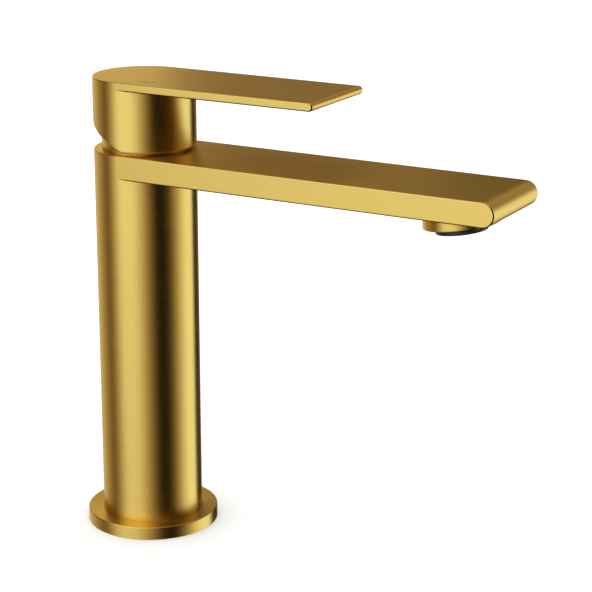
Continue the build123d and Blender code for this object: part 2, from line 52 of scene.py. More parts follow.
BROKEN_EDGE = 0.00012
COLUMN_FACETS = 192
CORNER_STEPS = 6
GUARD_SHARE = 0.35
SHARP_TURN = np.radians(40)
GOLD_LIGHT = (0.91, 0.625, 0.150, 1.0)
GOLD_DEEP = (0.86, 0.575, 0.128, 1.0)
GOLD_EDGE_TINT = (1.0, 0.93, 0.72, 1.0)
HAIRLINES = 3600.0
ROUND_RUN = 170.0
RELIEF_DEPTH = 0.0001


def unit(vectors):
    """Each vector divided by its own length."""
    return vectors / np.maximum(np.linalg.norm(vectors, axis=-1, keepdims=True), 1e-12)


def eased(corners, radii, steps=CORNER_STEPS, guard=GUARD_SHARE):
    """Rows of points of a closed outline with rounded corners, for many columns at once.

    corners is (corner, column, 3). Where the two sides at a corner open at an angle a, the arc of radius r
    touches them r / tan(a / 2) from the corner, and its centre is r / sin(a / 2) along their bisector.
    A guard row stands a little outside each end of the arc, so that the flat beside it shades flat.
    """
    rows = []
    last = len(radii) - 1
    for number, radius in enumerate(radii):
        corner = corners[number]
        if radius == 0:
            rows.append(corner[None])
            continue
        back = unit(corners[number - 1] - corner)
        ahead = unit(corners[0 if number == last else number + 1] - corner)
        opening = np.arccos(np.clip(np.sum(back * ahead, axis=-1, keepdims=True), -1, 1))
        reach = radius / np.tan(opening / 2)
        centre = corner + unit(back + ahead) * radius / np.sin(opening / 2)
        first = corner + back * reach - centre
        end = corner + ahead * reach - centre
        turn = np.pi - opening
        share = np.linspace(0, 1, steps + 1)[:, None, None]
        arc = centre + (np.sin((1 - share) * turn) * first + np.sin(share * turn) * end) / np.sin(turn)
        rows.append((corner + back * (reach + guard * radius))[None])
        rows.append(arc)
        rows.append((corner + ahead * (reach + guard * radius))[None])
    rows.append(rows[0][:1])
    return np.concatenate(rows)


def turned(outline, facets=COLUMN_FACETS, centre=(0.0, 0.0)):
    """Corner rings of a turned piece: each (radius, height) goes once round the axis at centre."""
    angle = np.linspace(0, 2 * np.pi, facets + 1) + np.pi / 2
    radius, height = np.array(outline).T[:, :, None]
    around = np.stack([centre[0] + radius * np.cos(angle), centre[1] + radius * np.sin(angle)], axis=-1)
    return np.concatenate([around, np.broadcast_to(height, around.shape[:2])[..., None]], axis=-1)


def skin(name, net, body, stands_for=(), across_rows=True):
    """Closed mesh over a net of points (row, column, 3), with the brush direction kept as a UV map.

    Each cell of the net is one face. Points that fall together are merged, which closes seams and poles.
    U is the distance across the brush lines and V the distance along them.
    """
    rows, columns = net.shape[:2]
    place = np.arange(rows * columns).reshape(rows, columns)
    cells = np.stack([place[:-1, :-1], place[1:, :-1], place[1:, 1:], place[:-1, 1:]], axis=-1)
    cells = cells.reshape(-1, 4)
    down = np.linalg.norm(np.diff(net, axis=0), axis=-1).mean(axis=1)
    along = np.linalg.norm(np.diff(net, axis=1), axis=-1).max(axis=0)
    row_way = np.concatenate([[0], np.cumsum(down)])[:, None] + np.zeros(columns)
    column_way = np.concatenate([[0], np.cumsum(along)]) + np.zeros((rows, 1))
    ways = [row_way, column_way] if across_rows else [column_way, row_way]
    lay = np.stack(ways, axis=-1).reshape(-1, 2)
    mesh = bpy.data.meshes.new(name)
    mesh.from_pydata(net.reshape(-1, 3).tolist(), [], cells.tolist())
    mesh.uv_layers.new(name="brush").data.foreach_set("uv", lay[cells.ravel()].ravel())
    work = bmesh.new()
    work.from_mesh(mesh)
    bmesh.ops.remove_doubles(work, verts=work.verts, dist=2e-7)
    bmesh.ops.dissolve_degenerate(work, dist=1e-8, edges=work.edges)
    bmesh.ops.recalc_face_normals(work, faces=work.faces)
    work.to_mesh(mesh)
    work.free()
    mesh.shade_smooth()
    mesh.set_sharp_from_angle(angle=SHARP_TURN)
    piece = bpy.data.objects.new(name, mesh)
    bpy.context.scene.collection.objects.link(piece)
    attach(piece, body)
    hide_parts(*stands_for)
    return piece


def link(tree, *pairs):
    """Join sockets, given as output and input in turn."""
    for start, end in pairs:
        tree.links.new(start, end)


def brushed_gold(name, fineness, roughness=(0.27, 0.33), relief=0.008, anisotropy=0.7, depth=1.0):
    """Plated and brushed brass. fineness is how fast the pattern changes along X, Y and Z, per metre.

    Two noises, stretched along the brush lines, make the hairlines and the wider bands between them.
    A third, not stretched, makes the faint clouding of a hand-finished plating. The hairlines move the
    roughness between its two values, and relief is how strongly they stand out. anisotropy is how much
    further the gloss spreads across them than along them, and depth darkens the gold where it is under 1,
    which paints shade into its colour.
    """
    finish = bpy.data.materials.new(name)
    finish.use_nodes = True
    tree = finish.node_tree
    shader = tree.nodes["Principled BSDF"]
    place = tree.nodes.new("ShaderNodeTexCoord")
    patterns = []
    for share, detail in ((1.0, 3.0), (0.3, 2.0)):
        stretch = tree.nodes.new("ShaderNodeMapping")
        stretch.inputs["Scale"].default_value = [share * f for f in fineness]
        noise = tree.nodes.new("ShaderNodeTexNoise")
        noise.inputs["Scale"].default_value = 1.0
        noise.inputs["Detail"].default_value = detail
        noise.inputs["Roughness"].default_value = 0.6
        link(tree, (place.outputs["Object"], stretch.inputs["Vector"]),
             (stretch.outputs["Vector"], noise.inputs["Vector"]))
        patterns.append(noise.outputs["Fac"])
    clouds = tree.nodes.new("ShaderNodeTexNoise")
    clouds.inputs["Scale"].default_value = 38.0
    clouds.inputs["Detail"].default_value = 3.0
    link(tree, (place.outputs["Object"], clouds.inputs["Vector"]))

    lines = tree.nodes.new("ShaderNodeMix")
    lines.inputs["Factor"].default_value = 0.42
    link(tree, (patterns[0], lines.inputs["A"]), (patterns[1], lines.inputs["B"]))
    tone = tree.nodes.new("ShaderNodeMix")
    tone.inputs["Factor"].default_value = 0.10
    link(tree, (lines.outputs["Result"], tone.inputs["A"]), (clouds.outputs["Fac"], tone.inputs["B"]))
    colour = tree.nodes.new("ShaderNodeValToRGB")
    colour.color_ramp.elements[0].position = 0.34
    colour.color_ramp.elements[0].color = [c * depth for c in GOLD_DEEP[:3]] + [1.0]
    colour.color_ramp.elements[1].position = 0.64
    colour.color_ramp.elements[1].color = [c * depth for c in GOLD_LIGHT[:3]] + [1.0]
    rough = tree.nodes.new("ShaderNodeMapRange")
    rough.inputs["From Min"].default_value = 0.32
    rough.inputs["From Max"].default_value = 0.68
    rough.inputs["To Min"].default_value = roughness[0]
    rough.inputs["To Max"].default_value = roughness[1]
    bump = tree.nodes.new("ShaderNodeBump")
    bump.inputs["Strength"].default_value = relief
    bump.inputs["Distance"].default_value = RELIEF_DEPTH
    brush = tree.nodes.new("ShaderNodeTangent")
    brush.direction_type = "UV_MAP"
    brush.uv_map = "brush"
    link(tree, (tone.outputs["Result"], colour.inputs["Fac"]),
         (colour.outputs["Color"], shader.inputs["Base Color"]),
         (lines.outputs["Result"], rough.inputs["Value"]),
         (rough.outputs["Result"], shader.inputs["Roughness"]),
         (patterns[0], bump.inputs["Height"]), (bump.outputs["Normal"], shader.inputs["Normal"]),
         (brush.outputs["Tangent"], shader.inputs["Tangent"]))
    shader.inputs["Metallic"].default_value = 1.0
    shader.inputs["Anisotropic"].default_value = anisotropy
    shader.inputs["Specular Tint"].default_value = GOLD_EDGE_TINT
    return finish


ringed_gold = brushed_gold("gold_brushed_round", (ROUND_RUN, ROUND_RUN, HAIRLINES), (0.272, 0.33), 0.006)
column = skin("column_tube", eased(turned([
    (COLUMN_BORE, 0.0), (FOOT_LIP_RADIUS, 0.0), (FOOT_LIP_RADIUS, FOOT_LIP_HEIGHT),
    (BODY_RADIUS, FOOT_LIP_HEIGHT), (BODY_RADIUS, COLUMN_TOP), (COLUMN_BORE, COLUMN_TOP),
]), [BROKEN_EDGE] * 4 + [0, BROKEN_EDGE]), "root", ["column"])
column.data.materials.append(ringed_gold)

# ------------------------------------------------------------------ base flange
# The thin round plate that covers the hole in the deck: turned from brass bar, brushed and plated gold.
# It slips over the column's foot lip, and its underside has a groove for the rubber seal.
FLANGE_RADIUS = 0.02625
FLANGE_HEIGHT = 0.0052
SEAT_GAP = 0.00005
EDGE_ROUNDING = 0.0004
SEAL_GROOVE = (0.02315, 0.02485)
SEAL_GROOVE_DEPTH = 0.00165
flange = skin("flange_plate", eased(turned([
    (FOOT_LIP_RADIUS + SEAT_GAP, 0.0), (SEAL_GROOVE[0], 0.0), (SEAL_GROOVE[0], SEAL_GROOVE_DEPTH),
    (SEAL_GROOVE[1], SEAL_GROOVE_DEPTH), (SEAL_GROOVE[1], 0.0), (FLANGE_RADIUS, 0.0),
    (FLANGE_RADIUS, FLANGE_HEIGHT), (BODY_RADIUS + SEAT_GAP, FLANGE_HEIGHT),
    (BODY_RADIUS + SEAT_GAP, FOOT_LIP_HEIGHT + SEAT_GAP),
    (FOOT_LIP_RADIUS + SEAT_GAP, FOOT_LIP_HEIGHT + SEAT_GAP),
]), [BROKEN_EDGE] * 6 + [EDGE_ROUNDING] + [BROKEN_EDGE] * 3), "root", ["base_flange"])
flange.data.materials.append(ringed_gold)

# ------------------------------------------------------------------ spout
# A flat brass bar as wide as the column: round about the column's axis at the back and with a half-round
# nose. It is milled, brushed lengthwise and plated gold. Its edges are softly broken, the lower ones more
# than the upper ones, and the lower ones are painted with shade: a dark gold that stands in for the shade
# and the dark reflections beneath them.
SPOUT_BOTTOM = 0.1452
SPOUT_TOP = 0.1545
SPOUT_REACH = 0.1563
LOW_ROUNDING = 0.0006
BAR_HUB_ROWS = 64
BAR_NOSE_ROWS = 24
STOP_INSET = 0.0003
FLAT_HALF = 0.018
FLAT_START = 0.004
SPOUT_FLAT_END = 0.148
BAR_RUN = 110.0
EVEN_GRAIN = 300.0
SIDE_FACING = 0.98
EDGE_FACING = 0.12
LOW_FACING = 0.4
LEVEL_FACING = 0.999


def broken_corner(steps=CORNER_STEPS):
    """How far a rounded corner of unit radius stands in from the side and from the top, in two rows.

    A quarter circle, with a guard point on either side of it: in from the side it is 1 - cos t, and in from
    the top it is 1 - sin t.
    """
    turn = np.linspace(0, np.pi / 2, steps + 1)
    return np.array([[0, *(1 - np.cos(turn)), 1 + GUARD_SHARE], [1 + GUARD_SHARE, *(1 - np.sin(turn)), 0]])


def flat_bar(reach, bottom, top, stops_across, stops_along):
    """Net of a bar with a round back and a half-round nose.

    A section point is x across and h over the middle plane. A station is an angle a about the column's
    axis, a distance d towards the nose and an angle n about the nose's axis. The surface point is
    (x cos a, |x| sin a - d - h sin n, middle + h cos n), so one formula makes back, top, nose and bottom.
    The rounding of the edges grows from top to bottom, by the share (1 - cos n) / 2.
    """
    half_height = (top - bottom) / 2
    middle = bottom + half_height
    back = np.linspace(np.pi / 2, 0, BAR_HUB_ROWS)
    flat_end = reach - half_height
    run = np.concatenate([[STOP_INSET], stops_along, [flat_end - STOP_INSET, flat_end]])
    nose = np.linspace(0, np.pi, BAR_NOSE_ROWS)
    still = np.zeros_like(run)
    a = np.concatenate([back, still, 0 * nose[1:-1], still, back[::-1]])[:, None]
    d = np.concatenate([0 * back, run, run[-1] + 0 * nose[1:-1], run[::-1], 0 * back])[:, None]
    n = np.concatenate([0 * back, still, nose[1:-1], still + np.pi, 0 * back + np.pi])[:, None]
    rounding = EDGE_ROUNDING + (LOW_ROUNDING - EDGE_ROUNDING) * (1 - np.cos(n)) / 2
    inward, downward = broken_corner()
    side, up = BODY_RADIUS - rounding * inward, half_height - rounding * downward
    flat = np.ones_like(n) * stops_across[::-1]
    x = np.hstack([0 * n + BODY_RADIUS, side, flat, -side[:, ::-1], 0 * n - BODY_RADIUS])
    h = np.hstack([0 * n, up, 0 * flat + half_height, up[:, ::-1], 0 * n])
    along = np.abs(x) * np.sin(a) - d - h * np.sin(n)
    return np.stack([x * np.cos(a), along, middle + h * np.cos(n)], axis=-1)


long_gold = brushed_gold("gold_brushed_long", (HAIRLINES, BAR_RUN, BAR_RUN), (0.32, 0.38), anisotropy=0.45)
side_gold = brushed_gold("gold_brushed_side", (BAR_RUN, BAR_RUN, HAIRLINES))
edge_gold = brushed_gold("gold_broken_edge", (EVEN_GRAIN,) * 3, (0.13, 0.17), 0.0, anisotropy=0.0)
# Painted shade: the lower edges' gold is darkened to 6 % and its edge tint dulled. This stands in for the
# shade and the dark reflections beneath them.
painted_shade_edge = brushed_gold("gold_painted_shade_edge", (EVEN_GRAIN,) * 3, (0.20, 0.26), 0.0, anisotropy=0.0,
                           depth=0.06)
painted_shade_shader = painted_shade_edge.node_tree.nodes["Principled BSDF"]
painted_shade_shader.inputs["Specular Tint"].default_value = (0.3, 0.2, 0.08, 1.0)


def lay_finishes(piece):
    """Give a bar its four finishes: on its brushed faces, its sides, its edges and its lower edges in
    painted shade.

    A face is on the sides when it is within the rounding of the outline and faces sideways, and on an edge
    when it is there but tilted. The lower edges and the rim of the nose's ends get painted shade: a dark
    gold that stands in for the shade and the dark reflections beneath them.
    The brush lines run along Y on the top, so there U is x and V is y. On the sides they run level, so U is
    z and V is the way round: y in front of the column's axis, and the angle times the radius behind it.
    On the nose and the edges V stays the way along the net.
    """
    count = len(piece.data.polygons)
    place, way = np.empty(count * 3), np.empty(count * 3)
    piece.data.polygons.foreach_get("center", place)
    piece.data.polygons.foreach_get("normal", way)
    place, way = place.reshape(-1, 3), way.reshape(-1, 3)
    out = np.where(place[:, 1] > 0, np.hypot(place[:, 0], place[:, 1]), np.abs(place[:, 0]))
    aside = np.where(place[:, 1] > 0, np.hypot(way[:, 0], way[:, 1]), np.abs(way[:, 0]))
    side = (out > BODY_RADIUS - LOW_ROUNDING) & (aside > SIDE_FACING)
    edge = (out > BODY_RADIUS - LOW_ROUNDING) & (aside > EDGE_FACING) & ~side
    middle = (place[:, 2].max() + place[:, 2].min()) / 2
    nose_start = place[:, 1].min() + place[:, 2].max() - middle
    # Painted shade: the downward-facing edges get the darkened gold.
    low_edge_painted_shade = edge & (way[:, 2] < LOW_FACING) & ((place[:, 2] < middle) | (place[:, 1] < nose_start))
    for finish in (long_gold, side_gold, edge_gold, painted_shade_edge):
        piece.data.materials.append(finish)
    kind = np.select([low_edge_painted_shade, edge, side], [3, 2, 1], 0)
    piece.data.polygons.foreach_set("material_index", kind.astype(np.int32))
    corners, sizes = np.empty(len(piece.data.loops), np.int32), np.empty(count, np.int32)
    points, lay = np.empty(len(piece.data.vertices) * 3), np.empty(len(corners) * 2)
    piece.data.loops.foreach_get("vertex_index", corners)
    piece.data.polygons.foreach_get("loop_total", sizes)
    piece.data.vertices.foreach_get("co", points)
    piece.data.uv_layers["brush"].data.foreach_get("uv", lay)
    x, y, z = points.reshape(-1, 3)[corners].T
    lay = lay.reshape(-1, 2)
    level = np.repeat(np.abs(way[:, 2]) > LEVEL_FACING, sizes)
    upright = np.repeat(side, sizes)
    round_way = np.where(y > 0, BODY_RADIUS * np.arctan2(y, np.abs(x)), y)
    lay[:, 0] = np.where(upright, z, x)
    lay[:, 1] = np.where(upright, round_way, np.where(level, y, lay[:, 1]))
    piece.data.uv_layers["brush"].data.foreach_set("uv", lay.ravel())


spout_across = np.linspace(-FLAT_HALF, FLAT_HALF, 19)
spout_along = np.linspace(FLAT_START, SPOUT_FLAT_END, 37)
spout_net = flat_bar(SPOUT_REACH, SPOUT_BOTTOM, SPOUT_TOP, spout_across, spout_along)
spout = skin("spout_bar", spout_net, "root", ["spout"], across_rows=False)
lay_finishes(spout)

# ------------------------------------------------------------------ outlet boss
# The short round socket under the spout's tip that takes the aerator: turned brass, brazed on, plated gold.
# Its face is cut at a slant, so that the water falls a little away from the column.
OUTLET_REACH = 0.1352
OUTLET_SLANT = np.radians(8.5)
MOUTH_DROP = 0.0050
MOUTH_HEIGHT = SPOUT_BOTTOM - MOUTH_DROP
BOSS_RADIUS = 0.0140
BOSS_BORE = 0.0107
BOSS_ROUNDING = 0.0006
THREAD_END = 0.0056
BOSS_FACETS = 128


def slanted_socket():
    """Net of the boss: a level ring inside the bar, the slanted ring of the face, and the tilted bore.

    On the face, height = mouth height + slope times the distance past the mouth's centre, y + reach.
    The bore's rings are circles in planes parallel to the face, shifted along the mouth's axis.
    """
    angle = np.linspace(0, 2 * np.pi, BOSS_FACETS + 1)
    ring = np.stack([np.cos(angle), np.sin(angle), 0 * angle], axis=-1)
    tilt = np.array([[1, 0, 0], [0, np.cos(OUTLET_SLANT), -np.sin(OUTLET_SLANT)],
                     [0, np.sin(OUTLET_SLANT), np.cos(OUTLET_SLANT)]])
    centre = np.array([0, -OUTLET_REACH, MOUTH_HEIGHT])
    outer_top = centre + BOSS_RADIUS * ring + [0, 0, SPOUT_BOTTOM + EDGE_ROUNDING - MOUTH_HEIGHT]
    outer_face = centre + BOSS_RADIUS * ring
    outer_face[:, 2] -= BOSS_RADIUS * ring[:, 1] * np.tan(OUTLET_SLANT)
    bore_face = centre + BOSS_BORE * ring @ tilt
    bore_end = bore_face + THREAD_END * tilt[2]
    return np.stack([outer_top, outer_face, bore_face, bore_end])


boss = skin("outlet_socket", eased(slanted_socket(), [0, BOSS_ROUNDING, BROKEN_EDGE, 0]), "root",
            ["outlet_boss"])
boss.data.materials.append(ringed_gold)

# ------------------------------------------------------------------ neck collar
# The narrower domed ring between spout and lever, screwed on the valve body's neck: turned brass, brushed
# round and plated gold. It hides the nut that holds the cartridge down.
COLLAR_RADIUS = 0.0169
COLLAR_SIDE = 0.0040
COLLAR_HEIGHT = 0.0110
COLLAR_MOUTH = 0.0092
COLLAR_WALL = 0.0012
COLLAR_BORE = 0.0155
NECK_TOP = 0.1605
DOME_POINTS = 20
dome = np.linspace(0, np.pi / 2, DOME_POINTS)
dome_outline = np.stack([COLLAR_MOUTH + (COLLAR_RADIUS - COLLAR_MOUTH) * np.cos(dome),
                         SPOUT_TOP + COLLAR_SIDE + (COLLAR_HEIGHT - COLLAR_SIDE) * np.sin(dome)], axis=-1)
hollow_reach = COLLAR_BORE - COLLAR_MOUTH - COLLAR_WALL
hollow_rise = SPOUT_TOP + COLLAR_HEIGHT - COLLAR_WALL - NECK_TOP - SEAT_GAP
hollow_outline = np.stack([COLLAR_MOUTH + hollow_reach * np.cos(dome[::-1]),
                           NECK_TOP + SEAT_GAP + hollow_rise * np.sin(dome[::-1])], axis=-1)
collar_outline = np.concatenate([[(COLLAR_BORE, SPOUT_TOP), (COLLAR_RADIUS, SPOUT_TOP)], dome_outline,
                                 hollow_outline, [(COLLAR_BORE, NECK_TOP + SEAT_GAP)]])
smooth = [0] * (DOME_POINTS - 1)
collar_edges = [BROKEN_EDGE] * 2 + smooth + [BROKEN_EDGE] * 2 + smooth + [BROKEN_EDGE]
collar = skin("collar_ring", eased(turned(collar_outline), collar_edges), "root",
              ["neck_collar"])
collar.data.materials.append(ringed_gold)

# ------------------------------------------------------------------ lever handle
# The cap over the cartridge and the thin lever plate on it, cast in one piece, brushed and plated gold.
# The plate has two small enamelled marks, and the cap's back is relieved so that it clears the hub.
LEVER_TOP = 0.1828
LEVER_BOTTOM = 0.1796
LEVER_REACH = 0.0847
CAP_BOTTOM = 0.1555
CAP_CEILING = 0.1700
CAP_BORE = 0.0179
CAP_ROUNDING = 0.0010
RELIEF_ANGLE = np.radians(27.2)
RELIEF_START = -0.0016
RELIEF_BLEND = 0.0030
PLUG_HEIGHT = 0.17475
PLUG_RADIUS = 0.0025
PLUG_POCKET = 0.0006
PLUG_MARGIN = 0.0028
PLUG_SECTOR = 0.17
POCKET_WALL = 0.00012
POCKET_CLEARANCE = 0.00005
OUTER_SKIN = 0.001
WALL_STOP = 0.1705
MARK_SPREAD = 0.0127
MARK_ADVANCE = 0.0102
MARK_LENGTH = 0.0054
MARK_WIDTH = 0.0022
MARK_DEPTH = 0.0005
MARK_WALL = 0.00008
MARK_SPAN = 0.0014
MARK_RUN = 0.0031
TOP_TOLERANCE = 1e-6
PLATE_MIDDLE_HALF = 0.010
PLATE_REST_START = 0.017
PLATE_FLAT_END = 0.079


def cap_net():
    """Net of the cap: up the outer wall from its relieved bottom edge, over the closed top, down the bore.

    The bottom edge is level in front. Behind the crease it rises at the relief angle, and between the two
    a circle of the blend radius joins them: height = blend - sqrt(blend^2 - distance^2).
    The columns stand closer near the plug, whose round pocket has a steep ramp for its wall.
    """
    near_plug = np.linspace(-PLUG_SECTOR, PLUG_SECTOR, 41)
    elsewhere = np.linspace(PLUG_SECTOR, 2 * np.pi - PLUG_SECTOR, 170)[1:]
    angle = np.concatenate([near_plug, elsewhere]) + np.pi / 2
    touch = RELIEF_BLEND * np.tan(RELIEF_ANGLE / 2)

    def bottom(radius):
        past = radius * np.sin(angle) - RELIEF_START
        curved = RELIEF_BLEND - np.sqrt(np.maximum(RELIEF_BLEND ** 2 - (past + touch) ** 2, 0))
        sloped = past * np.tan(RELIEF_ANGLE)
        rise = np.where(past < -touch, 0, np.where(past < touch * np.cos(RELIEF_ANGLE), curved, sloped))
        return CAP_BOTTOM + rise

    def ring(radius, height):
        return np.stack([radius * np.cos(angle), radius * np.sin(angle), height + 0 * angle], axis=-1)

    near_pocket = np.linspace(PLUG_HEIGHT - PLUG_MARGIN, PLUG_HEIGHT + PLUG_MARGIN, 45)
    steps = [WALL_STOP, *near_pocket, LEVER_BOTTOM + LOW_ROUNDING]
    wall = [ring(BODY_RADIUS, height) for height in steps]
    corners = [ring(CAP_BORE, bottom(CAP_BORE)), ring(BODY_RADIUS, bottom(BODY_RADIUS)), *wall,
               ring(0, LEVER_BOTTOM + LOW_ROUNDING), ring(0, CAP_CEILING), ring(CAP_BORE, CAP_CEILING)]
    net = eased(np.stack(corners), [BROKEN_EDGE, CAP_ROUNDING] + [0] * (len(wall) + 2) + [BROKEN_EDGE])
    out = np.hypot(net[..., 0], net[..., 1])
    from_plug = np.hypot(net[..., 0], net[..., 2] - PLUG_HEIGHT)
    deep = PLUG_POCKET * np.clip((PLUG_RADIUS + POCKET_CLEARANCE - from_plug) / POCKET_WALL, 0, 1)
    deep = np.where((net[..., 1] > 0) & (out > CAP_BORE + OUTER_SKIN), deep, 0)
    net[..., 1] -= deep
    return net


def engrave(net):
    """Sink the two slots for the marks into the plate's top.

    A slot is all that lies within half its width of a line along Y; its wall is a steep ramp.
    """
    line = (MARK_LENGTH - MARK_WIDTH) / 2
    aside = np.abs(np.abs(net[..., 0]) - MARK_SPREAD)
    past_end = np.maximum(np.abs(net[..., 1] + MARK_ADVANCE) - line, 0)
    depth = MARK_DEPTH * np.clip((MARK_WIDTH / 2 - np.hypot(aside, past_end)) / MARK_WALL + 0.5, 0, 1)
    net[..., 2] -= np.where(net[..., 2] > LEVER_TOP - TOP_TOLERANCE, depth, 0)
    return net


near_mark = np.linspace(-MARK_SPAN, MARK_SPAN, 36)
between_marks = np.linspace(-PLATE_MIDDLE_HALF, PLATE_MIDDLE_HALF, 9)
plate_across = np.concatenate([[-FLAT_HALF], near_mark - MARK_SPREAD, between_marks, near_mark + MARK_SPREAD,
                               [FLAT_HALF]])
plate_along = np.concatenate([[FLAT_START], np.linspace(-MARK_RUN, MARK_RUN, 64) + MARK_ADVANCE,
                              np.linspace(PLATE_REST_START, PLATE_FLAT_END, 20)])
plate_net = engrave(flat_bar(LEVER_REACH, LEVER_BOTTOM, LEVER_TOP, plate_across, plate_along))
plate = skin("lever_plate", plate_net, "lever", ["lever_handle"], across_rows=False)
lay_finishes(plate)
cap = skin("lever_cap", cap_net(), "lever", ["lever_handle"])
cap.data.materials.append(ringed_gold)

# ------------------------------------------------------------------ marks, plug and grub screw
# The enamel in the two marks, the gold plug set into the back of the cap and the steel parts: the
# screw behind the plug, the cartridge's stem and pin, and the aerator's screen. They keep the shapes of
# the solid model.
GLOSS_SWING = 0.06
SMOOTHEST = 0.02


def dress(material, *names):
    """Give one material to nodes of the solid model, with their facets shaded as one smooth surface."""
    for name in names:
        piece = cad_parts[name]
        for holder in piece.material_slots:
            holder.link = "OBJECT"
            holder.material = material
        weld = piece.modifiers.new("weld", "WELD")
        weld.merge_threshold = 1e-6
        even = piece.modifiers.new("even", "WEIGHTED_NORMAL")
        even.keep_sharp = True
        even.weight = 90


def plain_finish(name, colour, roughness, metallic=0.0, spread=0.12, grain=900.0, relief=0.03, coat=0.0):
    """A moulded or machined surface: a fine grain moves its tone, its gloss and its relief a little."""
    finish = bpy.data.materials.new(name)
    finish.use_nodes = True
    tree = finish.node_tree
    shader = tree.nodes["Principled BSDF"]
    place = tree.nodes.new("ShaderNodeTexCoord")
    noise = tree.nodes.new("ShaderNodeTexNoise")
    noise.inputs["Scale"].default_value = grain
    noise.inputs["Detail"].default_value = 4.0
    tone = tree.nodes.new("ShaderNodeValToRGB")
    tone.color_ramp.elements[0].position = 0.3
    tone.color_ramp.elements[0].color = [c * (1 - spread) for c in colour[:3]] + [1.0]
    tone.color_ramp.elements[1].position = 0.7
    tone.color_ramp.elements[1].color = [min(1, c * (1 + spread)) for c in colour[:3]] + [1.0]
    rough = tree.nodes.new("ShaderNodeMapRange")
    rough.inputs["To Min"].default_value = max(SMOOTHEST, roughness - GLOSS_SWING)
    rough.inputs["To Max"].default_value = roughness + GLOSS_SWING
    bump = tree.nodes.new("ShaderNodeBump")
    bump.inputs["Strength"].default_value = relief
    bump.inputs["Distance"].default_value = RELIEF_DEPTH
    link(tree, (place.outputs["Object"], noise.inputs["Vector"]),
         (noise.outputs["Fac"], tone.inputs["Fac"]), (tone.outputs["Color"], shader.inputs["Base Color"]),
         (noise.outputs["Fac"], rough.inputs["Value"]),
         (rough.outputs["Result"], shader.inputs["Roughness"]),
         (noise.outputs["Fac"], bump.inputs["Height"]),
         (bump.outputs["Normal"], shader.inputs["Normal"]))
    shader.inputs["Metallic"].default_value = metallic
    shader.inputs["Coat Weight"].default_value = coat
    return finish


dress(plain_finish("enamel_cold", (0.18, 0.17, 0.085), 0.5), "cold_mark")
dress(plain_finish("enamel_hot", (0.20, 0.105, 0.03), 0.5), "hot_mark")
dress(plain_finish("gold_plug", (0.85, 0.65, 0.20), 0.3, metallic=1.0), "screw_plug")
dress(plain_finish("steel", (0.62, 0.61, 0.59), 0.32, metallic=1.0), "grub_screw", "stem", "pivot_pin",
      "filter_screen")

# ------------------------------------------------------------------ aerator, cartridge body and seals
# The black moulded insert that screws into the outlet, with its honeycomb and flow disc, the cartridge's
# grey moulded body, carrier and rotor, and the rubber rings that seal them and the foot.
dress(plain_finish("black_plastic", (0.012, 0.012, 0.013), 0.42, spread=0.3), "aerator_housing", "honeycomb")
dress(plain_finish("grey_plastic", (0.55, 0.55, 0.53), 0.45), "flow_regulator", "cartridge_base",
      "cartridge_casing", "disc_carrier", "rotor")
dress(plain_finish("rubber", (0.02, 0.02, 0.02), 0.65, spread=0.3), "aerator_seal", "base_seal",
      "lower_body_ring", "upper_body_ring", "inlet_seals", "casing_ring", "rotor_ring")

# ------------------------------------------------------------------ valve, nut, foot plate and discs
# The machined brass inside the column: the valve body that the hoses screw into, the nut that holds the
# cartridge down on it, and the threaded foot plate. The cartridge's two discs are ground ceramic.
dress(plain_finish("machined_brass", (0.72, 0.50, 0.22), 0.28, metallic=1.0), "valve_body", "retaining_nut",
      "foot_plate")
dress(plain_finish("alumina", (0.80, 0.79, 0.76), 0.22, spread=0.04), "fixed_disc", "moving_disc")

# ------------------------------------------------------------------ studio
# A pale floor without an edge in view and a white surround, with soft panels that show only as reflections.
# One light hangs overhead and a small warm one stands behind. A black flag on the right, which also shows
# only as a reflection, darkens what the metal mirrors there.
FLOOR_HALF = 8.0
FLOOR_SHADE = 0.9


def matt_board(name, corners, shade):
    """A flat board of one even grey that doesn't shine."""
    mesh = bpy.data.meshes.new(name)
    mesh.from_pydata(corners, [], [(0, 1, 2, 3)])
    board = bpy.data.objects.new(name, mesh)
    bpy.context.scene.collection.objects.link(board)
    finish = bpy.data.materials.new(name)
    finish.use_nodes = True
    shader = finish.node_tree.nodes["Principled BSDF"]
    shader.inputs["Base Color"].default_value = (shade, shade, shade, 1.0)
    shader.inputs["Roughness"].default_value = 1.0
    shader.inputs["Specular IOR Level"].default_value = 0.0
    mesh.materials.append(finish)
    return board


floor = matt_board("studio_floor", [(-FLOOR_HALF, -FLOOR_HALF, 0), (FLOOR_HALF, -FLOOR_HALF, 0),
                                    (FLOOR_HALF, FLOOR_HALF, 0), (-FLOOR_HALF, FLOOR_HALF, 0)], FLOOR_SHADE)
floor.visible_glossy = False
floor.visible_shadow = False

world = bpy.data.worlds.new("studio")
bpy.context.scene.world = world
world.use_nodes = True
world.cycles.sampling_method = "NONE"
sky = world.node_tree
sky.nodes.clear()
towards = sky.nodes.new("ShaderNodeTexCoord")
parts = sky.nodes.new("ShaderNodeSeparateXYZ")
link(sky, (towards.outputs["Generated"], parts.inputs["Vector"]))


def sum_node(operation, first, second=None):
    """One step of arithmetic in the surround."""
    node = sky.nodes.new("ShaderNodeMath")
    node.operation = operation
    for socket, value in zip(node.inputs, (first, second)):
        if value is None:
            continue
        if isinstance(value, (int, float)):
            socket.default_value = value
        else:
            link(sky, (value, socket))
    return node.outputs[0]


def ramp_node(value, start, end, low=0.0, high=1.0):
    """A smooth step from low to high as the value goes from start to end."""
    node = sky.nodes.new("ShaderNodeMapRange")
    node.interpolation_type = "SMOOTHSTEP"
    link(sky, (value, node.inputs["Value"]))
    for socket, number in (("From Min", start), ("From Max", end), ("To Min", low), ("To Max", high)):
        node.inputs[socket].default_value = number
    return node.outputs["Result"]


bearing = sum_node("ARCTAN2", parts.outputs["Y"], parts.outputs["X"])
height = parts.outputs["Z"]


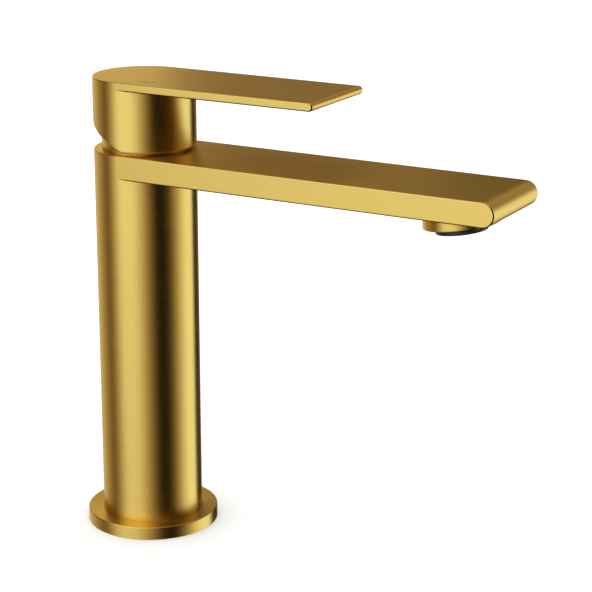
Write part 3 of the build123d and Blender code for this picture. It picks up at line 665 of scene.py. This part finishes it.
def soft_panel(centre, left, right, strength, lean=0.0):
    """A tall panel seen at a bearing, in degrees: it fades in over left and out over right, from its centre.

    Its bearing grows with height by lean, in degrees for each unit of height.
    """
    off = sky.nodes.new("ShaderNodeMath")
    off.operation = "WRAP"
    upright = sum_node("SUBTRACT", bearing, sum_node("MULTIPLY", height, float(np.radians(lean))))
    link(sky, (sum_node("SUBTRACT", upright, float(np.radians(centre))), off.inputs[0]))
    off.inputs[1].default_value = np.pi
    off.inputs[2].default_value = -np.pi
    fade_in = ramp_node(off.outputs[0], float(np.radians(left[0])), float(np.radians(left[1])))
    fade_out = ramp_node(off.outputs[0], float(np.radians(right[0])), float(np.radians(right[1])), 1.0, 0.0)
    return sum_node("MULTIPLY", sum_node("MULTIPLY", fade_in, fade_out), strength)


CAMERA_BEARING = 209.16
MIRRORED_STRENGTH = 1.62
WHITE_STRENGTH = 1.3
PANEL_DARK = (0.003, 0.003, 0.003)
PANEL_BRIGHT = (0.66, 0.765, 0.96)
PANEL_SHADES = ((0.18, (0.118, 0.088, 0.072)), (0.35, (0.230, 0.188, 0.152)), (0.54, (0.355, 0.330, 0.295)),
                (0.70, (0.455, 0.460, 0.48)), (0.83, (0.535, 0.570, 0.64)))
key = soft_panel(CAMERA_BEARING - 43, (-56, -6), (6, 72), 0.965)
rim = soft_panel(CAMERA_BEARING + 118, (-61, -5), (26, 54), 0.98, lean=30)
fill = soft_panel(CAMERA_BEARING - 157, (-50, -8), (0, 86), 0.62)
low_key = sum_node("MULTIPLY", key, ramp_node(height, -0.56, -0.14, 0.52, 1.13))
low_fill = sum_node("MULTIPLY", fill, ramp_node(height, -0.12, 0.22, 1.0, 0.32))
low_rim = sum_node("MULTIPLY", rim, ramp_node(height, 0.0, 0.30, 1.0, 0.30))
round_light = sum_node("ADD", sum_node("ADD", low_key, low_rim), low_fill)
not_below = ramp_node(height, -0.90, -0.62)
not_above = ramp_node(height, 0.60, 0.95, 1.0, 0.0)
top_light = ramp_node(height, 0.60, 0.95, 0.0, 0.62)
side_light = sum_node("MULTIPLY", sum_node("MULTIPLY", round_light, not_below), not_above)
wall_light = sum_node("ADD", side_light, top_light)
tint = sky.nodes.new("ShaderNodeValToRGB")
tint.color_ramp.elements[0].color = (*PANEL_DARK, 1.0)
tint.color_ramp.elements[1].color = (*PANEL_BRIGHT, 1.0)
for step, shade in PANEL_SHADES:
    tint.color_ramp.elements.new(step).color = (*shade, 1.0)
link(sky, (wall_light, tint.inputs["Fac"]))
mirrored = sky.nodes.new("ShaderNodeBackground")
mirrored.inputs["Strength"].default_value = MIRRORED_STRENGTH
link(sky, (tint.outputs["Color"], mirrored.inputs["Color"]))
white = sky.nodes.new("ShaderNodeBackground")
white.inputs["Color"].default_value = (1.0, 1.0, 1.0, 1.0)
white.inputs["Strength"].default_value = WHITE_STRENGTH
rays = sky.nodes.new("ShaderNodeLightPath")
pick = sky.nodes.new("ShaderNodeMixShader")
out = sky.nodes.new("ShaderNodeOutputWorld")
link(sky, (rays.outputs["Is Glossy Ray"], pick.inputs[0]), (white.outputs[0], pick.inputs[1]),
     (mirrored.outputs[0], pick.inputs[2]), (pick.outputs[0], out.inputs["Surface"]))

OVERHEAD_SIZE = (1.6, 1.2)
OVERHEAD_POWER = 4.0
OVERHEAD_PLACE = (0.1, -0.1, 1.6)
BACK_SIZE = (0.20, 0.20)
BACK_POWER = 0.078
BACK_COLOUR = (1.0, 0.95, 0.68)
BACK_PLACE = (0.29, 0.29, 0.27)
BACK_TURN = (np.radians(80), 0.0, np.radians(139))


def area_light(name, size, power, place):
    """A rectangular light of the given width and depth, hidden from the camera and facing straight down."""
    lamp = bpy.data.lights.new(name, "AREA")
    lamp.shape = "RECTANGLE"
    lamp.size, lamp.size_y = size
    lamp.energy = power
    holder = bpy.data.objects.new(name, lamp)
    holder.location = place
    holder.visible_camera = False
    bpy.context.scene.collection.objects.link(holder)
    return holder


overhead = area_light("overhead", OVERHEAD_SIZE, OVERHEAD_POWER, OVERHEAD_PLACE)
overhead.visible_glossy = False
back_panel = area_light("back_panel", BACK_SIZE, BACK_POWER, BACK_PLACE)
back_panel.data.color = BACK_COLOUR
back_panel.rotation_euler = BACK_TURN
back_panel.visible_diffuse = False

FLAG_NEAR = (0.216, -0.116)
FLAG_FAR = (0.255, -0.010)
FLAG_LOW = -0.22
FLAG_HIGH = 0.26
flag = matt_board("studio_flag", [(*FLAG_NEAR, FLAG_LOW), (*FLAG_FAR, FLAG_LOW), (*FLAG_FAR, FLAG_HIGH),
                                  (*FLAG_NEAR, FLAG_HIGH)], 0.0)
flag.visible_camera = False
flag.visible_diffuse = False
flag.visible_shadow = False

# ------------------------------------------------------------------ camera
# A long lens to the left of the spout, above the lever and tipped down, with no shift and no depth of
# field.
LENS = 120.2
SENSOR_WIDTH = 36.0
CAMERA_PLACE = (-0.63035, -0.41882, 0.31826)
CAMERA_DIP = 16.57
CAMERA_TURN = -60.84
camera_data = bpy.data.cameras.new("camera")
camera_data.lens = LENS
camera_data.sensor_width = SENSOR_WIDTH
camera = bpy.data.objects.new("camera", camera_data)
camera.location = CAMERA_PLACE
camera.rotation_euler = (np.radians(90 - CAMERA_DIP), 0.0, np.radians(CAMERA_TURN))
bpy.context.scene.collection.objects.link(camera)
bpy.context.scene.camera = camera
bpy.context.scene.view_settings.view_transform = "Standard"
